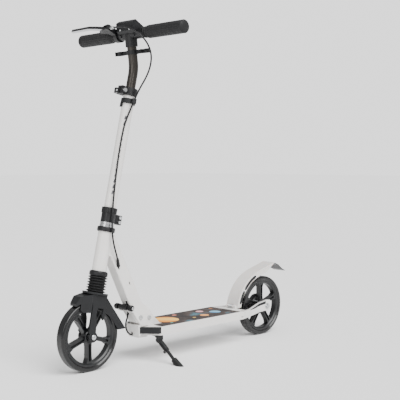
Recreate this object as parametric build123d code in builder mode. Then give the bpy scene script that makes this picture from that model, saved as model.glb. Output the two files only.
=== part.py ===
"""Folding kick scooter with 200 mm wheels, in millimetres.

+X is forward, +Y is the rider's left, +Z is up. The origin lies on the ground under the middle
of the scooter's box. The scooter stands on its wheels and its kickstand, steered straight ahead.
"""

from build123d import *
from math import atan2, cos, degrees, pi, radians, sin, tan
import os

os.makedirs("parts", exist_ok=True)

# ---- Driving dimensions ---------------------------------------------------------------------
overall_length = 960  # front tyre to the tail of the foot brake
wheel_radius = 100
wheelbase = 751
rake = 13.05  # lean of the steering axis from the vertical, in degrees
bar_half_width = 225
bar_height = 964  # centre of the handlebar above the ground
bar_reach = 34  # handlebar centre in front of the steering axis

tyre_half_width = 15
axle_radius = 4
running_gap = 0.05  # radial clearance of a turning or sliding fit
body_gap = 0.3  # space between faces of different moving bodies

deck_bottom = 80
deck_top = 105
deck_half_width = 70
tube_radius = 17  # lower stem tube
upper_radius = 14  # telescoping tube
grip_radius = 19
handle_radius = 11.1
cable_radius = 2.5

front_axle_x = overall_length / 2 - wheel_radius
rear_axle_x = front_axle_x - wheelbase

# ---- Reference planes -----------------------------------------------------------------------
lean_sin, lean_cos = sin(radians(rake)), cos(radians(rake))
axle_point = (front_axle_x, 0, wheel_radius)
# Across the steering axis: x forward, y left, z up along the axis, from the front axle.
steering = Plane(axle_point, x_dir=(lean_cos, 0, lean_sin), z_dir=(-lean_sin, 0, lean_cos))
steer_axis = Axis(axle_point, (-lean_sin, 0, lean_cos))
# Side view along the steering axis: x forward of the axis, y up along it.
steer_side = Plane(axle_point, x_dir=(lean_cos, 0, lean_sin), z_dir=(0, -1, 0))


def side(y):
    """Side view plane at a distance to the left: sketches are in x and height."""
    return Plane.XZ.offset(-y)


def axle_section(x):
    """Plane through an axle: sketches are in y (across) and radius."""
    return Plane((x, 0, wheel_radius), x_dir=(0, 1, 0), z_dir=(1, 0, 0))


def across(x, z, y=0):
    """Plane square to the wheel axles, facing the rider's left, at a point in side view."""
    return Plane((x, y, z), x_dir=(-1, 0, 0), z_dir=(0, 1, 0))


def finish(builder, name):
    """Label a finished piece and write it."""
    builder.part.label = name
    export_step(builder.part, f"parts/{name}.step")


# ---- Wheels ---------------------------------------------------------------------------------
rim_radius = 85
rim_inner = 76
rim_half_width = 12
hub_radius = 18
spoke_count = 5
bearing_radius = 11
bearing_inner_y = 5
bearing_outer_y = 12


def make_wheel(end, x, first_spoke):
    """Tyre, five-spoke rim and its two bearings, on the axle at x."""
    turn = Axis((x, 0, wheel_radius), (0, 1, 0))
    with BuildPart() as tyre:
        with BuildSketch(axle_section(x)):
            with BuildLine():
                Polyline((9, 100), (-9, 100))
                ThreePointArc((-9, 100), (-13.4, 98.2), (-tyre_half_width, 94))
                Polyline((-15, 94), (-15, 89), (-rim_half_width, rim_radius))
                Line((-rim_half_width, rim_radius), (rim_half_width, rim_radius))
                Polyline((rim_half_width, rim_radius), (15, 89), (15, 94))
                ThreePointArc((15, 94), (13.4, 98.2), (9, 100))
            make_face()
        revolve(axis=turn)
    finish(tyre, f"{end}_tyre")

    with BuildPart() as rim:
        with BuildSketch(axle_section(x)):
            with BuildLine():
                Polyline(
                    (-rim_half_width, rim_radius), (rim_half_width, rim_radius),
                    (rim_half_width, 80), (9, rim_inner), (-9, rim_inner), (-rim_half_width, 80),
                    close=True,
                )
            make_face()
        revolve(axis=turn)
        with BuildSketch(axle_section(x)):
            with BuildLine():
                Polyline(
                    (-bearing_outer_y, bearing_radius), (bearing_outer_y, bearing_radius),
                    (bearing_outer_y, hub_radius - 2), (bearing_outer_y - 2, hub_radius),
                    (2 - bearing_outer_y, hub_radius), (-bearing_outer_y, hub_radius - 2),
                    close=True,
                )
            make_face()
        revolve(axis=turn)
        with BuildSketch(across(x, wheel_radius)):
            with PolarLocations(0, spoke_count, start_angle=first_spoke):
                Polygon(
                    (hub_radius - 3, -8.5), (32, -6.5), (62, -7), (rim_inner + 2, -13),
                    (rim_inner + 2, 13), (62, 7), (32, 6.5), (hub_radius - 3, 8.5),
                    align=(Align.NONE, Align.NONE),
                )
        extrude(amount=9, both=True)
        for face_y, depth in ((9, -5), (-9, 5)):
            with BuildSketch(across(x, wheel_radius, face_y)):
                with PolarLocations(0, spoke_count, start_angle=first_spoke):
                    with Locations((46, 0)):
                        SlotOverall(50, 6.5)
            extrude(amount=depth, mode=Mode.SUBTRACT)
    finish(rim, f"{end}_rim")

    with BuildPart() as bearings:
        for start in (bearing_inner_y, -bearing_outer_y):
            with BuildSketch(side(start)):
                with Locations((x, wheel_radius)):
                    Circle(bearing_radius)
                    Circle(axle_radius + running_gap, mode=Mode.SUBTRACT)
            extrude(amount=bearing_inner_y - bearing_outer_y)
    finish(bearings, f"{end}_bearings")


make_wheel("front", front_axle_x, -90)
make_wheel("rear", rear_axle_x, 90)

# ---- Fork -----------------------------------------------------------------------------------
leg_inner, leg_outer = 19, 26
leg_front = 23
leg_back = 26.5
crown_low, crown_high = 104, 119
flange_high = 125
slider_radius = 11
axle_boss = 15

with BuildPart() as fork:
    with BuildSketch(steering.offset(crown_low)):
        with Locations(((leg_front - leg_back) / 2, 0)):
            Rectangle(leg_front + leg_back, 2 * leg_outer)
    extrude(amount=crown_high - crown_low)
    for sign in (1, -1):
        with BuildSketch(steer_side.offset(-sign * leg_inner)):
            with BuildLine():
                Polyline(
                    (leg_front, crown_high), (leg_front, 96), (20, 84), (18, 10), (0, 0), (-7, 12),
                    (-2, 50), (2, 60), (2, 82), (-19, 82), (-19, 58), (-25, 50), (-30.5, 66),
                    (-30.5, 96), (-leg_back, 108), (-leg_back, crown_high),
                    close=True,
                )
            make_face()
            Circle(axle_boss)
        extrude(amount=-sign * (leg_outer - leg_inner))
        with BuildSketch(side(sign * leg_inner)):
            with Locations((front_axle_x, wheel_radius)):
                Circle(7)
        extrude(amount=sign * (leg_inner - bearing_outer_y - body_gap))
    chamfer(fork.faces().sort_by(Axis.Y)[0].outer_wire().edges(), 1)
    chamfer(fork.faces().sort_by(Axis.Y)[-1].outer_wire().edges(), 1)
    with BuildSketch(steering.offset(crown_high)):
        Circle(37)
    extrude(amount=flange_high - crown_high)
    with BuildSketch(steering.offset(crown_low)):
        Circle(slider_radius)
    extrude(amount=flange_high - crown_low, mode=Mode.SUBTRACT)
    with BuildSketch(across(front_axle_x, wheel_radius)):
        Circle(axle_radius)
    extrude(amount=leg_outer + 1, both=True, mode=Mode.SUBTRACT)
finish(fork, "fork")

with BuildPart() as fork_slider:
    with BuildSketch(steering.offset(crown_low)):
        Circle(slider_radius)
        Circle(8, mode=Mode.SUBTRACT)
    extrude(amount=146)
finish(fork_slider, "fork_slider")

spring_foot = steering.offset(flange_high + 2).origin
with BuildPart() as fork_spring:
    with BuildLine() as coil:
        Helix(pitch=8.6, height=41, radius=14, center=spring_foot, direction=steering.z_dir)
    with BuildSketch(Plane(coil.line @ 0, z_dir=coil.line % 0)):
        Circle(1.5)
    sweep(path=coil.line, is_frenet=True)
finish(fork_spring, "fork_spring")

bellows_foot, bellows_head = flange_high, 171.2
rib_count = 6
rib_pitch = (bellows_head - bellows_foot) / rib_count
outer_rib, inner_rib = 28.5, 22
rib_points = [(inner_rib, bellows_foot)]
for rib in range(rib_count):
    middle = bellows_foot + (rib + 0.5) * rib_pitch
    rib_points += [(outer_rib, middle - 1.2), (outer_rib, middle + 1.2)]
    rib_points += [(inner_rib, bellows_foot + (rib + 1) * rib_pitch)]
with BuildPart() as bellows:
    with BuildSketch(steer_side):
        with BuildLine():
            Polyline(*rib_points, *[(r - 1.8, s) for r, s in reversed(rib_points)], close=True)
        make_face()
    revolve(axis=steer_axis)
finish(bellows, "bellows")

with BuildPart() as front_axle:
    with BuildSketch(across(front_axle_x, wheel_radius)):
        Circle(axle_radius)
    extrude(amount=leg_outer + 1, both=True)
    with BuildSketch(across(front_axle_x, wheel_radius, leg_outer)):
        Circle(7.5)
    extrude(amount=4)
    chamfer(front_axle.edges().group_by(Axis.Y)[-1], 1.2)
    with BuildSketch(across(front_axle_x, wheel_radius, leg_outer + 4)):
        RegularPolygon(3, 6)
    extrude(amount=-2, mode=Mode.SUBTRACT)
    with BuildSketch(across(front_axle_x, wheel_radius, -leg_outer)):
        RegularPolygon(7, 6)
    extrude(amount=-5)
finish(front_axle, "front_axle")

# Nose of the mudguard: a wedge in front of the crown that narrows towards its tip.
guard_clearance = 103.5
nose_back = [(leg_front + 0.1, 66), (leg_front + 0.1, crown_high)]
with BuildPart() as guard_nose:
    with BuildSketch(steer_side):
        with BuildLine():
            Polyline(*nose_back, (62, 106), (72, 84), (67, 74), (46, 64), close=True)
        make_face()
    extrude(amount=leg_outer, both=True)
    with BuildSketch(steering):
        with BuildLine():
            Polyline((20, 26), (30, 26), (74, 13), (74, -13), (30, -26), (20, -26), close=True)
        make_face()
    extrude(amount=140, mode=Mode.INTERSECT)
    with BuildSketch(across(front_axle_x, wheel_radius)):
        Circle(guard_clearance)
    extrude(amount=18, both=True, mode=Mode.SUBTRACT)
# Tail of the mudguard: a channel behind the legs, flat backed, over the rear of the tyre.
guard_half_width = 20
guard_wall = 2.5
with BuildPart() as guard_tail:
    with BuildSketch(Plane.XZ):
        with BuildLine():
            Polyline(
                (front_axle_x - 57, 203), (front_axle_x - 66, 190), (front_axle_x - 124, 108),
                (front_axle_x - 95, 108), (front_axle_x - 74, 142), (front_axle_x - 50, 162),
                close=True,
            )
        make_face()
    extrude(amount=guard_half_width, both=True)
    with BuildSketch(Plane.XZ):
        with BuildLine():
            Polyline(
                (front_axle_x - 40, 207), (front_axle_x - 56, 198), (front_axle_x - 122, 104.5),
                (front_axle_x - 60, 100), close=True,
            )
        make_face()
    extrude(amount=guard_half_width - guard_wall, both=True, mode=Mode.SUBTRACT)
    add(guard_nose.part)
finish(guard_tail, "front_mudguard")

# ---- Neck: head tube and down tube, which fold back together ------------------------------------
fold_x, fold_z = 200, 133
head_low, head_high = 186, 299
head_radius, head_bore = 21, 18
steerer_radius = 14.3
down_half_width = 18
down_wall = 3


def front_line(z, inset=0):
    """Front face of the down tube in side view."""
    return (250 + 0.485 * (z - 200) - inset, z)


def back_line(z, inset=0):
    """Back face of the down tube in side view."""
    return (201 + 0.5 * (z - 200) + inset, z)


# Where the brake cable goes into the left of the down tube, and the way it runs there.
cable_entry = Vector(front_axle_x - 98.8, down_half_width + 0.2, 291.5)
cable_entry_run = Vector(-8, -7, -21)

with BuildPart() as head_tube:
    with BuildSketch(steering.offset(head_low)):
        Circle(head_radius)
        Circle(head_bore, mode=Mode.SUBTRACT)
    extrude(amount=head_high - head_low)
finish(head_tube, "head_tube")

with BuildPart() as down_tube:
    with BuildSketch(Plane.XZ):
        with BuildLine():
            Polyline(
                front_line(117), front_line(322), (front_axle_x - 52, 330), (front_axle_x - 62, 376),
                back_line(381), back_line(174), (194.5, 167), (181, 138), (181, 122), (190, 115),
                close=True,
            )
        make_face()
    extrude(amount=down_half_width, both=True)
    fillet(down_tube.edges().filter_by(lambda e: e.length > 190), 4)
    with BuildSketch(Plane.XZ):
        with BuildLine():
            Polyline(
                front_line(100, 3.6), front_line(300, 3.6), back_line(360, 3.6), back_line(176, 3.6),
                (198.5, 164), (185, 137), (187, 100), close=True,
            )
        make_face()
    extrude(amount=down_half_width - down_wall, both=True, mode=Mode.SUBTRACT)
    with BuildSketch(steering.offset(150)):
        Circle(head_radius)
    extrude(amount=200, mode=Mode.SUBTRACT)
    with BuildSketch(across(fold_x, fold_z)):
        Circle(axle_radius + running_gap)
    extrude(amount=30, both=True, mode=Mode.SUBTRACT)
    with BuildSketch(Plane(cable_entry, z_dir=cable_entry_run)):
        Circle(3)
    extrude(amount=25, both=True, mode=Mode.SUBTRACT)
    with BuildSketch(Plane((222, -6, 165), z_dir=(2, 0, -27))):
        Circle(3.2)
    extrude(amount=40, mode=Mode.SUBTRACT)
    # Slots for the neck of the latch bar, in front, and for its spring's pin, at the sides.
    with BuildSketch(Plane.YZ.offset(fold_x + 18)):
        with Locations((6, 170)):
            Rectangle(10.8, 30)
    extrude(amount=40, mode=Mode.SUBTRACT)
    with BuildSketch(Plane.XZ):
        with Locations((238, 238)):
            SlotOverall(10, 4, rotation=64)
    extrude(amount=20, both=True, mode=Mode.SUBTRACT)
finish(down_tube, "down_tube")

lower_cup_low, upper_cup_high = 171.5, 313
bearing_bore = steerer_radius + running_gap
with BuildPart() as lower_cup:
    with BuildSketch(steer_side):
        with BuildLine():
            Polyline(
                (15, lower_cup_low), (25, lower_cup_low), (26.5, 173.5), (26.5, 182), (24, head_low),
                (head_bore, head_low), (head_bore, 196), (15.5, 196), (15.5, 181), (20, 181),
                (20, 173.5), (15, 173.5), close=True,
            )
        make_face()
    revolve(axis=steer_axis)

with BuildPart() as upper_cup:
    with BuildSketch(steer_side):
        with BuildLine():
            Polyline(
                (head_bore, 289), (head_bore, head_high), (24, head_high), (26, 302), (26, 310),
                (24.5, upper_cup_high), (15, upper_cup_high), (15, 311.5), (20, 311.5), (20, 304),
                (15.5, 304), (15.5, 289), close=True,
            )
        make_face()
    revolve(axis=steer_axis)

with BuildPart() as headset_bearings:
    for low, high in ((173.5, 181), (304, 311.5)):
        with BuildSketch(steering.offset(low)):
            Circle(20)
            Circle(bearing_bore, mode=Mode.SUBTRACT)
        extrude(amount=high - low)

headset = Compound(children=[
    *lower_cup.part.solids(), *upper_cup.part.solids(), *headset_bearings.part.solids(),
])
headset.label = "headset"
export_step(headset, "parts/headset.step")

# ---- Fold bracket ---------------------------------------------------------------------------
plate_inner, plate_outer = 18.4, 23
latch_x, latch_z = 243.5, 166
bolt_x, bolt_z = 166, 129
base_back, base_front = 172, 210
base_half_width = 27

with BuildPart() as fold_base:
    with BuildSketch(Plane.XZ):
        with BuildLine():
            Polyline(
                (base_back, 101.5), (203, 101.5), (205, 111), (212, 110), (base_front, 80),
                (205, 72), (base_back, 72), close=True,
            )
        make_face()
    extrude(amount=base_half_width, both=True)
    with BuildSketch(Plane.XY.offset(70)):
        with Locations((190, 25), (190, -25)):
            Rectangle(60, 6)
    extrude(amount=deck_bottom - 70, mode=Mode.SUBTRACT)
    with BuildSketch(Plane.XY.offset(70)):
        with Locations((190, -4)):
            Rectangle(60, 8)
    extrude(amount=18, mode=Mode.SUBTRACT)
finish(fold_base, "fold_base")

with BuildPart() as fold_plates:
    for sign in (1, -1):
        with BuildSketch(side(sign * plate_inner)):
            with BuildLine():
                Polyline(
                    (202, 112), (228, 150), (246, 155), (249, 161), (240, 161.5), (236.3, 164),
                    (231, 171), (226, 174), (200, 175), (190, 173), (163, 154), (150, 134),
                    (119, deck_top), (201, deck_top), close=True,
                )
            make_face()
            with Locations((fold_x, fold_z), (bolt_x, bolt_z)):
                Circle(axle_radius, mode=Mode.SUBTRACT)
        extrude(amount=-sign * (plate_outer - plate_inner))
    for face in (fold_plates.faces().sort_by(Axis.Y)[0], fold_plates.faces().sort_by(Axis.Y)[-1]):
        chamfer(face.outer_wire().edges(), 0.8)
finish(fold_plates, "fold_plates")

# The front bolt is the fold's hinge; the rear one ties the plates together.
with BuildPart() as fold_bolts:
    for x, z in ((fold_x, fold_z), (bolt_x, bolt_z)):
        with BuildSketch(across(x, z)):
            Circle(axle_radius)
        extrude(amount=plate_outer + 1, both=True)
        with BuildSketch(across(x, z, plate_outer)):
            Circle(6.5)
        extrude(amount=3)
        with BuildSketch(across(x, z, plate_outer + 3)):
            RegularPolygon(3, 6)
        extrude(amount=-2, mode=Mode.SUBTRACT)
        with BuildSketch(across(x, z, -plate_outer)):
            RegularPolygon(6.5, 6)
        extrude(amount=-3)
finish(fold_bolts, "fold_bolts")

# ---- Fold latch: a cross bar that rests in the hooks of the plates and slides up the down tube --------
down_angle = degrees(atan2(0.485, 1))
latch_centre = Vector(latch_x, 0, latch_z)
# Square to the down tube: x out of its front face, z up the tube.
latch_plane = Plane(
    latch_centre,
    x_dir=(cos(radians(down_angle)), 0, -sin(radians(down_angle))),
    z_dir=(sin(radians(down_angle)), 0, cos(radians(down_angle))),
)
knob_inner, knob_outer = plate_outer + 0.4, 36

with BuildPart() as latch_bar:
    with BuildSketch(across(latch_x, latch_z)):
        Circle(8.3)
        with PolarLocations(8.6, 12):
            Circle(0.9, mode=Mode.SUBTRACT)
    extrude(amount=plate_inner - 0.5, both=True)
    with BuildSketch(latch_plane.offset(-6)):
        with Locations((-9, 6)):
            Rectangle(16, 10)
    extrude(amount=12)
    with BuildSketch(latch_plane.offset(-13)):
        with Locations((-20, 7.3)):
            Rectangle(12, 13.4)
    extrude(amount=26)
    with BuildSketch(across(latch_x, latch_z)):
        Circle(axle_radius)
    extrude(amount=20, both=True, mode=Mode.SUBTRACT)
finish(latch_bar, "latch_bar")

with BuildPart() as latch_bolt:
    with BuildSketch(across(latch_x, latch_z)):
        Circle(axle_radius)
    extrude(amount=knob_outer, both=True)
    for sign in (1, -1):
        with BuildSketch(across(latch_x, latch_z, sign * knob_inner)):
            Circle(9)
        extrude(amount=sign * (knob_outer - knob_inner))
    chamfer(latch_bolt.faces().sort_by(Axis.Y)[0].edges(), 1.5)
    chamfer(latch_bolt.faces().sort_by(Axis.Y)[-1].edges(), 1.5)
    with BuildSketch(across(latch_x, latch_z, knob_outer)):
        Circle(5)
    extrude(amount=3)
    with BuildSketch(across(latch_x, latch_z, -knob_outer)):
        RegularPolygon(6.5, 6)
    extrude(amount=-4)
finish(latch_bolt, "latch_bolt")

# ---- Deck -----------------------------------------------------------------------------------
stay_start = -210
deck_back = -236
cable_groove = 12  # half the width of the groove under the deck
corner_x = 160


def stay_line(x, outward=0):
    """Inner face of a rear stay in plan: it runs inward from the deck to the wheel."""
    spread = 27.5 + (63 - 27.5) * max(0, (x + 330) / (stay_start + 330))
    return (x, spread + outward)


deck_outline = [
    (base_back, 0), (base_back, base_half_width), (196, base_half_width), (corner_x, deck_half_width),
    (stay_start, deck_half_width), stay_line(stay_start), stay_line(deck_back), (deck_back, 0),
]
with BuildPart() as deck:
    with BuildSketch(Plane.XY.offset(deck_bottom)):
        with BuildLine():
            Polyline(*deck_outline, close=True)
        make_face()
        mirror(about=Plane.XZ)
    extrude(amount=deck_top - deck_bottom)
    chamfer(deck.faces().sort_by(Axis.Z)[-1].outer_wire().edges().filter_by(Axis.X), 2)
    with BuildSketch(Plane.XY.offset(deck_bottom)):
        with Locations((-22, 38.5), (-22, -38.5)):
            Rectangle(300, 50)
    extrude(amount=deck_top - deck_bottom - 5, mode=Mode.SUBTRACT)
    with BuildSketch(Plane.XY.offset(deck_bottom)):
        with Locations(((deck_back + base_back) / 2, 0)):
            Rectangle(base_back - deck_back, 2 * cable_groove)
    extrude(amount=8, mode=Mode.SUBTRACT)
    for face_y, inward in ((deck_half_width, 1), (-deck_half_width, -1)):
        with BuildSketch(side(face_y)):
            with Locations((stay_start + 8, 88)):
                SlotOverall(12, 4)
        extrude(amount=inward * 4, mode=Mode.SUBTRACT)
finish(deck, "deck")

with BuildPart() as corner_caps:
    for hand in (1, -1):
        with BuildSketch(Plane.XY.offset(86)):
            with BuildLine():
                Polyline(
                    (corner_x, hand * deck_half_width), (196, hand * base_half_width),
                    (207, hand * base_half_width), (171, hand * deck_half_width), close=True,
                )
            make_face()
        extrude(amount=deck_top - 86)
finish(corner_caps, "corner_caps")

tape_thickness = 1.5
with BuildPart() as grip_tape:
    with BuildSketch(Plane.XY.offset(deck_top)):
        with BuildLine():
            Polyline(
                (112, 0), (112, 30), (152, 30), (152, 65), (-196, 65), (-196, 0), close=True,
            )
        make_face()
        mirror(about=Plane.XZ)
    extrude(amount=tape_thickness)
finish(grip_tape, "grip_tape")

stay_inner, stay_outer = stay_line(rear_axle_x)[1], stay_line(rear_axle_x, 7)[1]
stay_outline = [
    (stay_start, 80), (stay_start, deck_top), (-262, deck_top), (-374, 121), (-387, 119),
    (-390, 110), (-390, 92), (-384, 86), (-300, 82),
]
housing_back = -23
boss_ends = {1: bearing_outer_y + body_gap, -1: -housing_back}
with BuildPart() as rear_stays:
    with BuildSketch(Plane.XY.offset(70)):
        for sign in (1, -1):
            with BuildLine():
                Polyline(
                    *[(x, sign * y) for x, y in (
                        stay_line(stay_start), stay_line(-330), stay_line(-392),
                        stay_line(-392, 7), stay_line(-330, 7), (stay_start, deck_half_width),
                    )],
                    close=True,
                )
            make_face()
    extrude(amount=60)
    with BuildSketch(Plane.XZ):
        with BuildLine():
            Polyline(*stay_outline, close=True)
        make_face()
    extrude(amount=80, both=True, mode=Mode.INTERSECT)
    for sign, boss_end in boss_ends.items():
        with BuildSketch(across(rear_axle_x, wheel_radius, sign * boss_end)):
            Circle(7)
        extrude(amount=sign * (stay_inner - boss_end))
    with BuildSketch(across(rear_axle_x, wheel_radius)):
        Circle(axle_radius)
    extrude(amount=60, both=True, mode=Mode.SUBTRACT)
finish(rear_stays, "rear_stays")

with BuildPart() as rear_axle:
    with BuildSketch(across(rear_axle_x, wheel_radius)):
        Circle(axle_radius)
    extrude(amount=stay_outer + 6, both=True)
    for sign in (1, -1):
        with BuildSketch(across(rear_axle_x, wheel_radius, sign * stay_outer)):
            Circle(10)
        extrude(amount=sign * 1.6)
        with BuildSketch(across(rear_axle_x, wheel_radius, sign * (stay_outer + 1.6))):
            RegularPolygon(7.5, 6)
        extrude(amount=sign * 5)
finish(rear_axle, "rear_axle")

# ---- Rear drum brake, on the right of the wheel -----------------------------------------------------
drum_face = -9
with BuildPart() as brake_drum:
    with BuildSketch(across(rear_axle_x, wheel_radius, -bearing_outer_y)):
        Circle(30)
        Circle(25, mode=Mode.SUBTRACT)
    extrude(amount=-7)
    with BuildSketch(across(rear_axle_x, wheel_radius, drum_face)):
        Circle(30)
        Circle(hub_radius, mode=Mode.SUBTRACT)
    extrude(amount=-(bearing_outer_y + drum_face))
finish(brake_drum, "brake_drum")

arm_pivot = (rear_axle_x + 20, wheel_radius - 18)
arm_tip = (rear_axle_x + 34, wheel_radius - 32)
with BuildPart() as brake_housing:
    with BuildSketch(across(rear_axle_x, wheel_radius, housing_back)):
        Circle(37)
    extrude(amount=2.5)
    chamfer(brake_housing.edges().group_by(Axis.Y)[0], 1.5)
    with BuildSketch(across(rear_axle_x, wheel_radius, housing_back + 2.5)):
        Circle(37)
        Circle(34, mode=Mode.SUBTRACT)
        Circle(7)
    extrude(amount=-housing_back - 2.5 - bearing_outer_y - body_gap)
    with BuildSketch(across(rear_axle_x, wheel_radius)):
        Circle(axle_radius)
    extrude(amount=-30, mode=Mode.SUBTRACT)
    with BuildSketch(side(housing_back)):
        with Locations(arm_pivot):
            Circle(2.5)
    extrude(amount=4)
finish(brake_housing, "brake_housing")

with BuildPart() as brake_arm:
    with BuildSketch(side(housing_back - body_gap)):
        with Locations(arm_pivot):
            Circle(7)
        with Locations(arm_tip):
            Circle(4)
        make_hull()
        with Locations(arm_pivot):
            Circle(2.5 + running_gap, mode=Mode.SUBTRACT)
    extrude(amount=3)
finish(brake_arm, "brake_arm")

# ---- Rear mudguard, which is the foot brake ------------------------------------------------------
fender_half_width = 25
fender_sheet = 2.5
skirt_depth = 19
hinge_x, hinge_z = -226, 112
lug_inner, lug_outer = 14.3, 21.5


def fender_line(depth):
    """Outline of the mudguard in side view, moved in towards the wheel by a depth."""
    return [
        (-229 - depth, 108), (-239 - depth, 140), (-257 - 0.85 * depth, 170 - 0.5 * depth),
        (-283 - 0.62 * depth, 196 - 0.78 * depth), (-312 - 0.42 * depth, 213 - 0.9 * depth),
        (-342 - 0.3 * depth, 224 - 0.95 * depth),
    ]


with BuildPart() as foot_brake:
    with BuildSketch(Plane.XZ):
        with BuildLine():
            Spline(*fender_line(0))
            Spline(*fender_line(skirt_depth))
            Polyline(fender_line(0)[-1], (-420, 245), (-421, 243), (-377, 214), fender_line(skirt_depth)[-1])
            Line(fender_line(skirt_depth)[0], fender_line(0)[0])
        make_face()
    extrude(amount=fender_half_width, both=True)
    with BuildSketch(Plane.XZ):
        with BuildLine():
            Spline(*fender_line(fender_sheet))
            Polyline(
                fender_line(fender_sheet)[-1], (-424, 241.5), (-424, 150), (-300, 90), (-235, 90),
                fender_line(fender_sheet)[0],
            )
        make_face()
    extrude(amount=fender_half_width - fender_sheet, both=True, mode=Mode.SUBTRACT)
    with BuildSketch(Plane.XZ):
        with BuildLine():
            Polyline(
                (-420, 245), (-444, 235), (-462, 221), (-480, 212), (-480, 210.5), (-461, 218.5),
                (-443, 232.5), (-421, 242), close=True,
            )
        make_face()
    extrude(amount=fender_half_width, both=True)
    with BuildSketch(across(hinge_x, hinge_z)):
        Circle(5)
    extrude(amount=14, both=True)
    with BuildSketch(side(0)):
        with BuildLine():
            Polyline(
                (hinge_x, 107.5), (hinge_x - 16, 107.5), (hinge_x - 14, 117), (hinge_x, 116.9),
                close=True,
            )
        make_face()
    extrude(amount=14, both=True)
    for sign in (1, -1):
        with BuildSketch(across(hinge_x, hinge_z, sign * (lug_inner - body_gap))):
            Circle(5.6)
            with Locations((0, -5)):
                Rectangle(11.2, 10)
        extrude(amount=sign * (lug_outer - lug_inner + 2 * body_gap), mode=Mode.SUBTRACT)
    with BuildSketch(across(hinge_x, hinge_z)):
        Circle(2.5 + running_gap)
    extrude(amount=40, both=True, mode=Mode.SUBTRACT)
finish(foot_brake, "foot_brake")

with BuildPart() as foot_brake_base:
    with BuildSketch(Plane.XY.offset(deck_top)):
        with Locations((-214, 0)):
            Rectangle(34, 48)
    extrude(amount=1.8)
    for sign in (1, -1):
        with BuildSketch(across(hinge_x, hinge_z, sign * lug_inner)):
            Circle(5)
            with Locations((0, (deck_top - hinge_z) / 2)):
                Rectangle(10, hinge_z - deck_top)
        extrude(amount=sign * (lug_outer - lug_inner))
    with BuildSketch(across(hinge_x, hinge_z)):
        Circle(2.5)
    extrude(amount=lug_outer, both=True)
finish(foot_brake_base, "foot_brake_base")

pad_gap = 6
with BuildPart() as brake_pad:
    with BuildSketch(Plane.XZ):
        with BuildLine():
            Polyline(*fender_line(0.6)[3:], (-345, 190), (-300, 190), close=True)
        make_face()
    extrude(amount=12, both=True)
    add(foot_brake.part, mode=Mode.SUBTRACT)
    with BuildSketch(across(rear_axle_x, wheel_radius)):
        Circle(wheel_radius + pad_gap)
    extrude(amount=40, both=True, mode=Mode.SUBTRACT)
finish(brake_pad, "brake_pad")

# ---- Stem -----------------------------------------------------------------------------------
clamp_low, clamp_high, ring_high = 326.5, 354, 369.5
tube_foot, tube_head = 345, 715
guide_low, guide_high = 677.5, 692
collar_low, collar_high = 701, 724

with BuildPart() as steerer:
    with BuildSketch(steering.offset(172.4)):
        Circle(steerer_radius)
        Circle(slider_radius + running_gap, mode=Mode.SUBTRACT)
    extrude(amount=tube_foot - 172.4)
finish(steerer, "steerer")

with BuildPart() as stack_spacers:
    for low, high, radius in ((313.3, 319.5, 21), (320, clamp_low, 20)):
        with BuildSketch(steering.offset(low)):
            Circle(radius)
            Circle(steerer_radius, mode=Mode.SUBTRACT)
        extrude(amount=high - low)
finish(stack_spacers, "stack_spacers")

with BuildPart() as stem_clamp:
    with BuildSketch(steering.offset(clamp_low)):
        Circle(20.5)
        with Locations((-32, 0)):
            Rectangle(28, 17)
    extrude(amount=clamp_high - clamp_low)
    fillet(stem_clamp.edges().filter_by(steer_axis).group_by(Axis.X)[0], 3)
    with BuildSketch(steering.offset(clamp_low)):
        Circle(steerer_radius)
        with Locations((-30, 0)):
            Rectangle(40, 2)
    extrude(amount=tube_foot - clamp_low, mode=Mode.SUBTRACT)
    with BuildSketch(steering.offset(tube_foot)):
        Circle(tube_radius)
        with Locations((-32, 0)):
            Rectangle(36, 2)
    extrude(amount=clamp_high - tube_foot, mode=Mode.SUBTRACT)
    with BuildSketch(steer_side):
        with Locations((-36, 333.5), (-36, 347)):
            Circle(3)
    extrude(amount=20, both=True, mode=Mode.SUBTRACT)
    with BuildSketch(steering.offset(clamp_high)):
        Circle(22.5)
        with PolarLocations(22.9, 24):
            Circle(1, mode=Mode.SUBTRACT)
        Circle(tube_radius, mode=Mode.SUBTRACT)
    extrude(amount=ring_high - clamp_high)
finish(stem_clamp, "stem_clamp")

with BuildPart() as clamp_bolts:
    with BuildSketch(steer_side):
        with Locations((-36, 333.5), (-36, 347)):
            Circle(3)
    extrude(amount=8.5, both=True)
    with BuildSketch(steer_side.offset(-8.5)):
        with Locations((-36, 333.5), (-36, 347)):
            Circle(4.8)
    extrude(amount=-4)
    with BuildSketch(steer_side.offset(-12.5)):
        with Locations((-36, 333.5), (-36, 347)):
            RegularPolygon(2.4, 6)
    extrude(amount=2, mode=Mode.SUBTRACT)
finish(clamp_bolts, "clamp_bolts")

with BuildPart() as stem_tube:
    with BuildSketch(steering.offset(tube_foot)):
        Circle(tube_radius)
        Circle(15, mode=Mode.SUBTRACT)
    extrude(amount=tube_head - tube_foot)
finish(stem_tube, "stem_tube")

guide_u, guide_v = 2, 27.5
with BuildPart() as guide_collar:
    with BuildSketch(steering.offset(guide_low)):
        Circle(21.5)
        with Locations((guide_u, guide_v)):
            Circle(7.4)
        Circle(tube_radius, mode=Mode.SUBTRACT)
        with Locations((guide_u, guide_v)):
            Circle(4.8, mode=Mode.SUBTRACT)
    extrude(amount=guide_high - guide_low)
    with BuildSketch(steering.offset(guide_low - 12)):
        with Locations((19, -6)):
            Rectangle(2.5, 9)
    extrude(amount=14)
finish(guide_collar, "guide_collar")

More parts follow.
